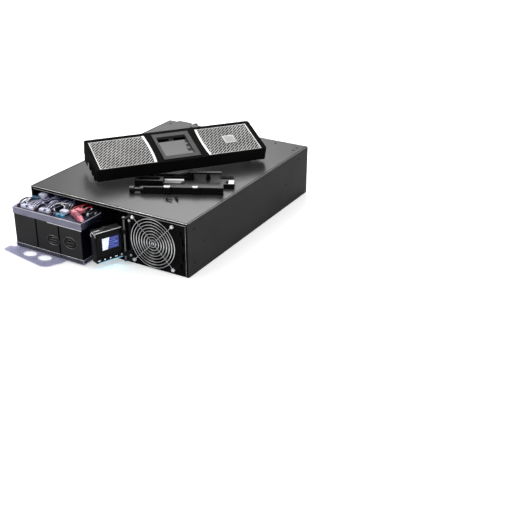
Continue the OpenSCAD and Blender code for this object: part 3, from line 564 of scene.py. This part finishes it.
FIRST_ROW, ROW_PITCH, ROW_HEIGHT = 71.5, 5.0, 1.4
bm = bmesh.new()
for row, (left, right) in enumerate(((-31, -15), (-33, -20), (-34, -14), (-35, -24), (-36, -16))):
    height = FIRST_ROW - ROW_PITCH * row
    add_box(bm, (left, height, LIT_FACE), (right, height + ROW_HEIGHT, LIT_FACE + 0.1), FACE)
add_box(bm, (-22, 60, LIT_FACE), (-15, 64, LIT_FACE + 0.1), FACE)
piece("screen_rows", bm, "display", ROW_LIGHT, smooth=False)

KEYS = (("key_power", "ring"), ("key_enter", "dash"), ("key_down", "dot"),
        ("key_up", "dot"), ("key_escape", "dash"))
KEY_FIRST, KEY_PITCH, KEY_ROW, KEY_PROUD = 6.7, 14.4, 26.5, 1.0
for index, (key, mark) in enumerate(KEYS):
    here = FACE @ Matrix.Translation((-(KEY_FIRST + KEY_PITCH * index), KEY_ROW, KEY_PROUD))
    bm = bmesh.new()
    if mark == "dash":
        add_prism(bm, rounded_outline((-3.2, -0.7), (3.2, 0.7), 0.6), -0.02, 0.06, here)
    elif mark == "dot":
        add_prism(bm, rounded_outline((-1.5, -1.3), (1.5, 1.3), 0.9), -0.02, 0.06, here)
    else:
        add_ring(bm, (0, 0, 0), 1.7, 0.35, steps=24, sides=6, at=here)
        add_box(bm, (-0.3, 0.4, -0.02), (0.3, 2.3, 0.3), here)
    piece(key + "_mark", bm, key, ICON_LIGHT, smooth=False)

TOP_Z = 92.0                              # top of the display's shell
bm = bmesh.new()
add_box(bm, (-68.8, 6.1, TOP_Z - 0.3), (-3, 8.6, TOP_Z + 0.5), DISPLAY)
add_box(bm, (-69.9, 6.3, TOP_Z - 9), (-69.2, 8.4, TOP_Z + 0.4), DISPLAY)
add_box(bm, (-66, 18, TOP_Z), (-52, 20, TOP_Z + 1.2), DISPLAY)
add_tube(bm, smooth_path([(-69.6, 12, TOP_Z - 4), (-70.6, 16, TOP_Z + 0.2), (-69.8, 22, TOP_Z - 1),
                          (-70.4, 26, TOP_Z - 8), (-69.6, 22, TOP_Z - 12)]), 0.8, at=DISPLAY)
piece("display_trim", bm, "display", SILVER_TRIM_AND_HIGHLIGHT, soft=0.2)

bm = bmesh.new()
add_rod(bm, (-36, 24, TOP_Z), (-36, 24, TOP_Z + 2.2), 6.5, at=DISPLAY)
add_box(bm, (-50, 12, TOP_Z), (-24, 14, TOP_Z + 1.4), DISPLAY)
add_box(bm, (-20, 10, TOP_Z), (-18, 28, TOP_Z + 1.0), DISPLAY)
for height in (30, 44, 58, 72):
    add_box(bm, (-69.9, 10, height), (-69.4, 27, height + 2), DISPLAY)
piece("display_ribs", bm, "display", BLACK_SHELL, soft=0.3)

# ---- loose bezel ---------------------------------------------------------------

GRILLES = ((-207.0, -68.0, 1), (203.0, 65.0, -1))     # outer edge, inner edge, direction inwards
GRILLE_Y = (-61.0, 54.0)
SHEET_Z, SHEET_THICK = -1.1, 0.7
SLOT_ROWS, SLOT_STEP = 5.7, 22.0          # from row to row, and from slot to slot in a row
SLOT_SIZE = (21.3, 3.7)
FOAM_BARS = 5                             # bars behind the dark foam that backs each grille and paints the shade behind its slots


def add_slotted_sheet(bm, low, high, across, along, hole):
    """A sheet with staggered slots that run at 45 degrees, cut to the rectangle low to high."""
    middle = (Vector(low) + Vector(high)) / 2
    reach = (Vector(high) - Vector(low)).length / 2 + along
    turned = Matrix.Translation((middle.x, middle.y, 0)) @ Matrix.Rotation(math.radians(45), 4, "Z")
    half_w, half_h = along / 2, across / 2
    length, width = hole[0] / 2, hole[1] / 2
    edge_points = [(1, 0), (1, 1), (0, 1), (-1, 1), (-1, 0), (-1, -1), (0, -1), (1, -1)]
    rows, cells = int(reach / across), int(reach / along)
    for row in range(-rows, rows + 1):
        shift = half_w if row % 2 else 0.0
        for cell in range(-cells, cells + 1):
            x, y = cell * along + shift, row * across
            if abs(x) + abs(y) > 1.5 * reach:
                continue
            outer = [(x + a * half_w, y + b * half_h, 0) for a, b in edge_points]
            inner = [(x + a * length * (0.9 if b else 1), y + b * width, 0) for a, b in edge_points]
            outer = [bm.verts.new(turned @ Vector(point)) for point in outer]
            inner = [bm.verts.new(turned @ Vector(point)) for point in inner]
            for k in range(len(outer)):
                n = (k + 1) % len(outer)
                bm.faces.new((outer[k], outer[n], inner[n], inner[k]))
    for point, direction in (((low[0], 0, 0), (-1, 0, 0)), ((high[0], 0, 0), (1, 0, 0)),
                             ((0, low[1], 0), (0, -1, 0)), ((0, high[1], 0), (0, 1, 0))):
        everything = bm.verts[:] + bm.edges[:] + bm.faces[:]
        bmesh.ops.bisect_plane(bm, geom=everything, plane_co=point, plane_no=direction, clear_outer=True)
    bmesh.ops.remove_doubles(bm, verts=bm.verts, dist=0.01)


def bowed_band(outer_x, direction, width, bow, low_y, high_y, steps=12):
    """Outline of a band along Y whose outer edge bows towards the bezel's centre."""
    middle, half = (low_y + high_y) / 2, (high_y - low_y) / 2
    edge_out, edge_in = [], []
    for i in range(steps + 1):
        y = low_y + (high_y - low_y) * i / steps
        bend = bow * (1 - ((y - middle) / half) ** 2)
        edge_out.append((outer_x + direction * bend, y))
        edge_in.append((outer_x + direction * (bend - width), y))
    return edge_out + edge_in[::-1]


for side, (outer_x, inner_x, direction) in zip(("left", "right"), GRILLES):
    low = (min(outer_x, inner_x) + 0.4, GRILLE_Y[0] + 0.4)
    high = (max(outer_x, inner_x) - 0.4, GRILLE_Y[1] - 0.4)
    bm = bmesh.new()
    add_slotted_sheet(bm, low, high, SLOT_ROWS, SLOT_STEP, SLOT_SIZE)
    bm.transform(BEZEL @ Matrix.Translation((0, 0, SHEET_Z)))
    sheet = piece("grille_sheet_" + side, bm, "bezel", SILVER_MESH, ["bezel_grilles"],
                  smooth=False)
    thick = sheet.modifiers.new("thick", "SOLIDIFY")
    thick.thickness = SHEET_THICK * MM
    thick.offset = 0.0
    # dark foam sheet behind each grille: painted shade inside the bezel, seen through the slots
    bm = bmesh.new()
    foam_l, foam_r = low[0] + 0.3, high[0] - 0.3
    add_box(bm, (foam_l, low[1] + 0.3, -2.5), (foam_r, high[1] - 0.3, -2.1), BEZEL)
    for i in range(1, FOAM_BARS + 1):
        y = low[1] + i * (high[1] - low[1]) / (FOAM_BARS + 1)
        add_box(bm, (foam_l, y - 0.8, -3.6), (foam_r, y + 0.8, -2.4), BEZEL)
    piece("grille_shade_backing_" + side, bm, "bezel", FOAM_SHADE_BLACK, soft=0.2)
    # the rims and the bowed inner band are a lighter silver than the slotted sheet: a painted highlight on
    # the grille's curved border
    bm = bmesh.new()
    rim_l, rim_r = sorted((outer_x, outer_x + direction * 2.0))
    add_box(bm, (rim_l, low[1], -1.4), (rim_r, high[1], -0.15), BEZEL)
    add_prism(bm, bowed_band(inner_x, direction, 6.0, 3.0, low[1] - 0.3, high[1] + 0.3), -1.0, 0.3, BEZEL)
    for y in (low[1], high[1] - 1.2):
        add_box(bm, (low[0], y, -1.4), (high[0], y + 1.2, -0.25), BEZEL)
    piece("grille_rim_highlight_" + side, bm, "bezel", SILVER_TRIM_AND_HIGHLIGHT, soft=0.25)

bm = bmesh.new()
add_prism(bm, rounded_outline((124.5, -19), (149.5, 7), 1.5), 1.2, 1.5, BEZEL)
for x in (128, 134, 140):
    add_box(bm, (x, -7.5, 1.5), (x + 4.5, -4.5, 1.62), BEZEL)
piece("badge_face", bm, "bezel", SILVER_MESH, soft=0.15)

# ---- battery tray --------------------------------------------------------------

def leads(name, finish, radius, paths, steps=6):
    bm = bmesh.new()
    for path in paths:
        add_tube(bm, smooth_path(path, steps), radius, sides=8)
    piece(name, bm, "battery_tray", finish)


rng = random.Random(7)


def lead_back(x, start_y, drift, lift=3.0, end_y=-215.0):
    """Path of one lead from a connector at x towards the rear over the cover's deck."""
    turns = [(x, start_y, DECK + 3.0)]
    depth = start_y
    travel = 0.0
    while depth < end_y:
        depth += rng.uniform(12, 20)
        travel = min(1.0, travel + 0.25)
        sideways = x + drift * travel + rng.uniform(-2.2, 2.2)
        turns.append((sideways, depth, DECK + 2.6 + lift * rng.uniform(0.2, 2.2)))
    return turns


leads("navy_leads", LEAD_NAVY, 1.6,
      [lead_back(-190 + 6.0 * i, -348, 16) for i in range(6)]
      + [lead_back(-139 + 5.4 * i, -344, 6) for i in range(5)]
      + [lead_back(-206 + 4 * i, -334, 24) for i in range(3)])
# thin pale lavender leads over the wiring: painted highlights of the leads
leads("lead_highlight_lines", LEAD_HIGHLIGHT_GREY, 0.9,
      [lead_back(-189 + 6.5 * i, -347, 22, lift=4.2) for i in range(6)]
      + [lead_back(-138 + 7 * i, -343, 14, lift=4.2) for i in range(4)]
      + [lead_back(-96 + 8 * i, -320, -20, lift=4.2) for i in range(3)])
leads("black_leads", CABLE_BLACK, 2.0,
      [lead_back(-92 + 7 * i, -322, -12 + 3 * i, lift=3.0) for i in range(3)]
      + [[(-104, -343, DECK + 4), (-112, -335, DECK + 8), (-116, -323, DECK + 9), (-108, -313, DECK + 8),
          (-98, -316, DECK + 7), (-95, -320, DECK + 4)],
         [(-126, -330, DECK + 3), (-120, -316, DECK + 9), (-104, -306, DECK + 9), (-90, -300, DECK + 6)],
         [(-203, -352, DECK + 3), (-209, -338, DECK + 6), (-209, -322, DECK + 7), (-204, -310, DECK + 4)]])
leads("red_leads", CABLE_RED, 1.2,
      [[(-66, -326, DECK + 6), (-72, -314, DECK + 9), (-70, -300, DECK + 8), (-68, -270, DECK + 5)],
       [(-50, -306, DECK + 5), (-46, -298, DECK + 9), (-44, -286, DECK + 7), (-56, -262, DECK + 5)],
       [(-62, -306, DECK + 6), (-60, -296, DECK + 10), (-64, -284, DECK + 7), (-62, -262, DECK + 5)]])

bm = bmesh.new()
for i in range(3):
    x = -50 + i * 13
    for y in (TRAY_Y + 95, TRAY_Y + 100):
        add_ring(bm, (x, y, DECK + 4.2), 4.1, 0.7, (0, 1, 0), steps=28, sides=8)
for x, y in ((-24, -300), (-40, -290), (-30, -318)):
    add_rod(bm, (x, y, DECK), (x, y, DECK + 4.5), 3.2, 20)
    add_rod(bm, (x, y, DECK + 4.5), (x, y, DECK + 6), 2.0, 6)
piece("lead_lugs", bm, "battery_tray", BRIGHT_STEEL, soft=0.2)

bm = bmesh.new()
for x0, x1, y0, height in ((-193, -156, 5, 7), (-142, -114, 9, 6.5), (-192, -175, 65, 12)):
    count = int((x1 - x0) / 5.5)
    for i in range(count):
        left = x0 + 1.5 + i * (x1 - x0 - 3) / count
        add_box(bm, (left, TRAY_Y + y0 - 0.5, DECK + 1.2),
                (left + 2.6, TRAY_Y + y0 + 0.2, DECK + height - 1.6))
        add_box(bm, (left + 0.4, TRAY_Y + y0 + 4, DECK + height - 0.2),
                (left + 2.2, TRAY_Y + y0 + 10.5, DECK + height + 0.7))
piece("connector_ribs", bm, "battery_tray", WHITE_NYLON, soft=0.15)

bm = bmesh.new()
add_box(bm, (-179, TRAY_Y + 4.6, DECK + 2.0), (-170, TRAY_Y + 10, DECK + 7.4))
add_box(bm, (-166, TRAY_Y + 7.5, DECK + 4.5), (-157.5, TRAY_Y + 12.5, DECK + 7.5))
add_box(bm, (-129, TRAY_Y + 8.6, DECK + 1.6), (-122, TRAY_Y + 13, DECK + 7.0))
add_box(bm, (-98.5, TRAY_Y + 6.8, DECK + 0.2), (-92.2, TRAY_Y + 14.6, DECK + 6.4))
add_box(bm, (-84, TRAY_Y + 6.7, DECK + 1.4), (-78, TRAY_Y + 11, DECK + 5.9))
piece("connector_latches", bm, "battery_tray", LEAD_NAVY, soft=0.3)

RED = frame_at((-43, TRAY_Y + 23, DECK), turn=-29)
# pink end ring, ribs and end plate, lighter than the red housing: painted highlights
bm = bmesh.new()
add_rod(bm, (27, 0, 5.2), (30.5, 0, 5.2), 3.6, 20, at=RED)
add_ring(bm, (29.5, 0, 5.2), 3.4, 0.8, (1, 0, 0), steps=24, sides=8, at=RED)
for x in (-24, -19, -14):
    add_box(bm, (x, -4.4, 10.3), (x + 2, 4.4, 11.3), RED)
add_box(bm, (-27.4, -3.4, 2.4), (-25.6, 3.4, 8.4), RED)
piece("red_connector_ends", bm, "battery_tray", PINK_HIGHLIGHT_NYLON, soft=0.25)

bm = bmesh.new()
for x in (-8, -3, 2, 7, 12):
    add_box(bm, (x, -5.8, 2.0), (x + 1.6, 5.8, 11.0), RED)
add_box(bm, (-63, -304, DECK + 8.6), (-51, -308, DECK + 9.8))
piece("red_connector_grips", bm, "battery_tray", DEEP_RED, soft=0.2)

OVALS = ((-101, 45, 36, 23), (-51, 49, 38, 27))      # middle x and z, width, height


def on_front(x, depth, z):
    """A local frame on the blocks' front whose Z points out of it."""
    return frame_at((x, TRAY_Y + depth, z), tilt=90)


# grey rings on the moulded ovals: painted highlights of their raised edges
bm = bmesh.new()
for x, z, width, height in OVALS:
    upright = on_front(x, 1.3, z)
    oval = oval_outline(width, height, 40)
    add_tube(bm, [(a, b, 0) for a, b in oval], 0.6, sides=8, closed=True, at=upright)
    add_tube(bm, [(0.66 * a, 0.55 * b, 0) for a, b in oval], 0.5, sides=8, closed=True, at=upright)
    add_box(bm, (-0.28 * width, -0.9, -0.4), (0.28 * width, 0.9, 0.45), upright)
piece("moulded_oval_highlights", bm, "battery_tray", OVAL_HIGHLIGHT_GREY, soft=0.15)

OVAL_RIM = 4.0
# black fields inside the ovals: painted shade
bm = bmesh.new()
for x, z, width, height in OVALS:
    field = oval_outline(width - OVAL_RIM, height - OVAL_RIM, 32)
    add_prism(bm, field, -0.1, 0.2, on_front(x, 1.25, z))
piece("oval_shade_fields", bm, "battery_tray", FOOT_BLACK, soft=0.1)

COVER_TOP, SKIRT_FOOT = 104.9, 86.2       # the wiring cover's top edge and the foot of its skirt
# light frosted strips along the cover's top edge, skirt step and side: painted edge highlights
bm = bmesh.new()
add_box(bm, (TRAY_L + 0.3, TRAY_Y + 0.1, COVER_TOP - 1.5), (TRAY_R - 0.3, TRAY_Y + 0.9, COVER_TOP))
add_box(bm, (-113, TRAY_Y + 0.05, SKIRT_FOOT), (TRAY_R - 0.2, TRAY_Y + 0.35, SKIRT_FOOT + 1.8))
add_box(bm, (TRAY_R - 1.2, TRAY_Y + 0.6, COVER_TOP - 0.9), (TRAY_R - 0.3, TRAY_Y + 76, COVER_TOP + 0.1))
piece("cover_edge_highlights", bm, "battery_tray", EDGE_HIGHLIGHT_FILM, soft=0.2)

LIP_FOOT, LIP_TOP = 2.4, 14.2             # the tray's low front lip
left_end, corner, right_end = ((TRAY_L + 0.2, TRAY_Y + 0.2), (TRAY_R - 0.2, TRAY_Y + 0.2),
                               (TRAY_R - 0.2, TRAY_Y + 80))
# thin light tubes along the tray's front lip: painted edge highlights
bm = bmesh.new()
for height, radius in ((LIP_TOP, 0.35), (LIP_FOOT, 0.3)):
    add_tube(bm, [(*point, height) for point in (left_end, corner, right_end)], radius, sides=6)
add_tube(bm, [(*corner, LIP_FOOT), (*corner, LIP_TOP)], 0.35, sides=6)
piece("tray_lip_highlights", bm, "battery_tray", EDGE_HIGHLIGHT_FILM)

# ---- folded edges of the front panel, drawn with painted highlights ----------------

FOLD_Y = FRONT - 0.1
# light grey rods along the panel's folds: painted highlights of its rounded edges
bm = bmesh.new()
add_rod(bm, (-218.8, FOLD_Y, TOP - 0.5), (218.8, FOLD_Y, TOP - 0.5), 0.75, sides=8)
add_rod(bm, (-213, FOLD_Y, TOP - 6.2), (216, FOLD_Y, TOP - 6.2), 0.55, sides=8)
add_rod(bm, (213.5, FOLD_Y, 3), (213.5, FOLD_Y, TOP - 9), 0.5, sides=8)
piece("panel_fold_highlights", bm, "chassis", FOLD_HIGHLIGHT_GREY)

FOLD_X, SEAM_X, SEAM_HALF = 219.5, 216.6, 1.1      # the lid's side folds, drawn with painted highlights, and the seams beside them
# light grey rods along the lid's side folds: painted highlights
bm = bmesh.new()
for x in (-FOLD_X, FOLD_X):
    add_rod(bm, (x, FRONT + 2, TOP - 0.4), (x, BACK - 2, TOP - 0.4), 0.6, sides=8)
piece("lid_edge_highlights", bm, "chassis", LID_FOLD_HIGHLIGHT)

bm = bmesh.new()
for x in (-SEAM_X, SEAM_X):
    add_box(bm, (x - SEAM_HALF, FRONT + 1.6, TOP - 0.3), (x + SEAM_HALF, BACK - 1.6, TOP + 0.12))
piece("lid_seams", bm, "chassis", FRONT_COAT, soft=0.1)

# ---- loose stand parts -----------------------------------------------------------

bm = bmesh.new()
for x, length in ((-26, 16), (40, 14)):
    add_prism(bm, rounded_outline((x + 0.6, -2.2), (x + length - 0.6, 5.5), 1.2), 18.35, 19.0, KIT)
    add_box(bm, (x + 2, -2.7, 16.8), (x + length - 2, -2.2, 18.8), KIT)
piece("clip_pads", bm, "stand_foot_front", CLIP_WHITE, soft=0.2)

bm = bmesh.new()
for z0, x1 in ((1.6, 7.5), (6.0, 14.5)):
    add_box(bm, (-30.5, 67.6, z0), (x1, 68.1, z0 + 0.9), KIT)
for x in range(-28, 13, 5):
    add_box(bm, (x, 69, 8.6), (x + 0.8, 73, 9.0), KIT)
piece("link_ribs", bm, "stand_spacers", LINK_STEEL, soft=0.15)

# ---- stage ---------------------------------------------------------------------

FLOOR_SEEN_IN_GLOSS = 0.38                # how light the floor looks in reflections
FLOOR_GLOW = 0.32                         # lifts the floor towards white for the camera alone


def ray_kind(nodes, kind):
    return nodes.new("ShaderNodeLightPath").outputs[kind]


def floor():
    """A pale floor that shows darker in glossy reflections, as a lit studio table would."""
    f = Finish("pale_floor")
    f.put("Base Color", f.blend(f.scaled(f.noise(3.0), 0.0, 1.0), (0.93, 0.93, 0.93), (0.95, 0.95, 0.95)))
    f.put("Roughness", 0.6)
    f.put("Specular IOR Level", 0.2)
    f.put("Emission Color", (1.0, 1.0, 1.0))
    f.put("Emission Strength", f.math("MULTIPLY", ray_kind(f.nodes, "Is Camera Ray"), FLOOR_GLOW))
    dark = f.nodes.new("ShaderNodeBsdfDiffuse")
    dark.inputs["Color"].default_value = (FLOOR_SEEN_IN_GLOSS,) * 3 + (1.0,)
    mixer = f.nodes.new("ShaderNodeMixShader")
    f.links.new(ray_kind(f.nodes, "Is Glossy Ray"), mixer.inputs[0])
    f.links.new(f.shader.outputs[0], mixer.inputs[1])
    f.links.new(dark.outputs[0], mixer.inputs[2])
    f.links.new(mixer.outputs[0], f.nodes["Material Output"].inputs["Surface"])
    mesh = bpy.data.meshes.new("floor")
    half = 12.0
    corners = [(-half, -half, 0), (half, -half, 0), (half, half, 0), (-half, half, 0)]
    mesh.from_pydata(corners, [], [(0, 1, 2, 3)])
    mesh.materials.append(f.material)
    obj = bpy.data.objects.new("floor", mesh)
    bpy.context.scene.collection.objects.link(obj)


def area_light(name, place, target, size, power, gloss_only=False):
    """A rectangular soft light, size in metres and power in watts."""
    data = bpy.data.lights.new(name, "AREA")
    data.shape = "RECTANGLE"
    data.size, data.size_y = size
    data.energy = power
    obj = bpy.data.objects.new(name, data)
    obj.visible_diffuse = not gloss_only
    obj.location = place
    obj.rotation_mode = "QUATERNION"
    obj.rotation_quaternion = (Vector(target) - Vector(place)).to_track_quat("-Z", "Y")
    bpy.context.scene.collection.objects.link(obj)


def world_light(strength, in_gloss):
    """An even white surround, dimmer where it shows in glossy reflections."""
    world = bpy.data.worlds.new("studio")
    bpy.context.scene.world = world
    world.use_nodes = True
    nodes, links = world.node_tree.nodes, world.node_tree.links
    background = nodes["Background"]
    background.inputs["Strength"].default_value = strength
    background.inputs["Color"].default_value = (1, 1, 1, 1)
    dimmer = nodes.new("ShaderNodeBackground")
    dimmer.inputs["Strength"].default_value = in_gloss
    dimmer.inputs["Color"].default_value = (1, 1, 1, 1)
    mixer = nodes.new("ShaderNodeMixShader")
    links.new(ray_kind(nodes, "Is Glossy Ray"), mixer.inputs[0])
    links.new(background.outputs[0], mixer.inputs[1])
    links.new(dimmer.outputs[0], mixer.inputs[2])
    links.new(mixer.outputs[0], nodes["World Output"].inputs["Surface"])


def camera(place, azimuth, elevation, roll, lens):
    a, e, r = (math.radians(angle) for angle in (azimuth, elevation, roll))
    back = Vector((math.sin(a) * math.cos(e), -math.cos(a) * math.cos(e), math.sin(e)))
    right = Vector((math.cos(a), math.sin(a), 0))
    up = back.cross(right)
    turned_right = math.cos(r) * right + math.sin(r) * up
    turned_up = math.cos(r) * up - math.sin(r) * right
    data = bpy.data.cameras.new("camera")
    data.sensor_width = 36.0
    data.lens = lens
    data.clip_start, data.clip_end = 0.05, 50.0
    obj = bpy.data.objects.new("camera", data)
    columns = Matrix((turned_right, turned_up, back)).transposed().to_4x4()
    obj.matrix_world = Matrix.Translation(place) @ columns
    bpy.context.scene.collection.objects.link(obj)
    bpy.context.scene.camera = obj


def softbox(azimuth, elevation, distance, size, power, gloss_only=False):
    """An area light aimed at the object from a direction in degrees."""
    a, e = math.radians(azimuth), math.radians(elevation)
    place = distance * Vector((math.cos(a) * math.cos(e), math.sin(a) * math.cos(e), math.sin(e)))
    area_light("softbox_%d_%d" % (azimuth, elevation), place, (0, 0, 0.1), size, power, gloss_only)


floor()
world_light(1.0, 0.45)
softbox(122, 36, 2.5, (1.06, 0.9), 13)
softbox(120, 52, 2.5, (1.0, 0.9), 14)
softbox(215, 58, 2.5, (2.4, 2.4), 420, gloss_only=True)
area_light("right_softbox", (2.4, -0.4, 1.2), (0, 0, 0.1), (0.8, 0.8), 3)
camera((1.19414, -1.74034, 0.92313), azimuth=29.1209, elevation=26.3982, roll=0.5584, lens=63.04)
bpy.context.scene.view_settings.view_transform = "Standard"
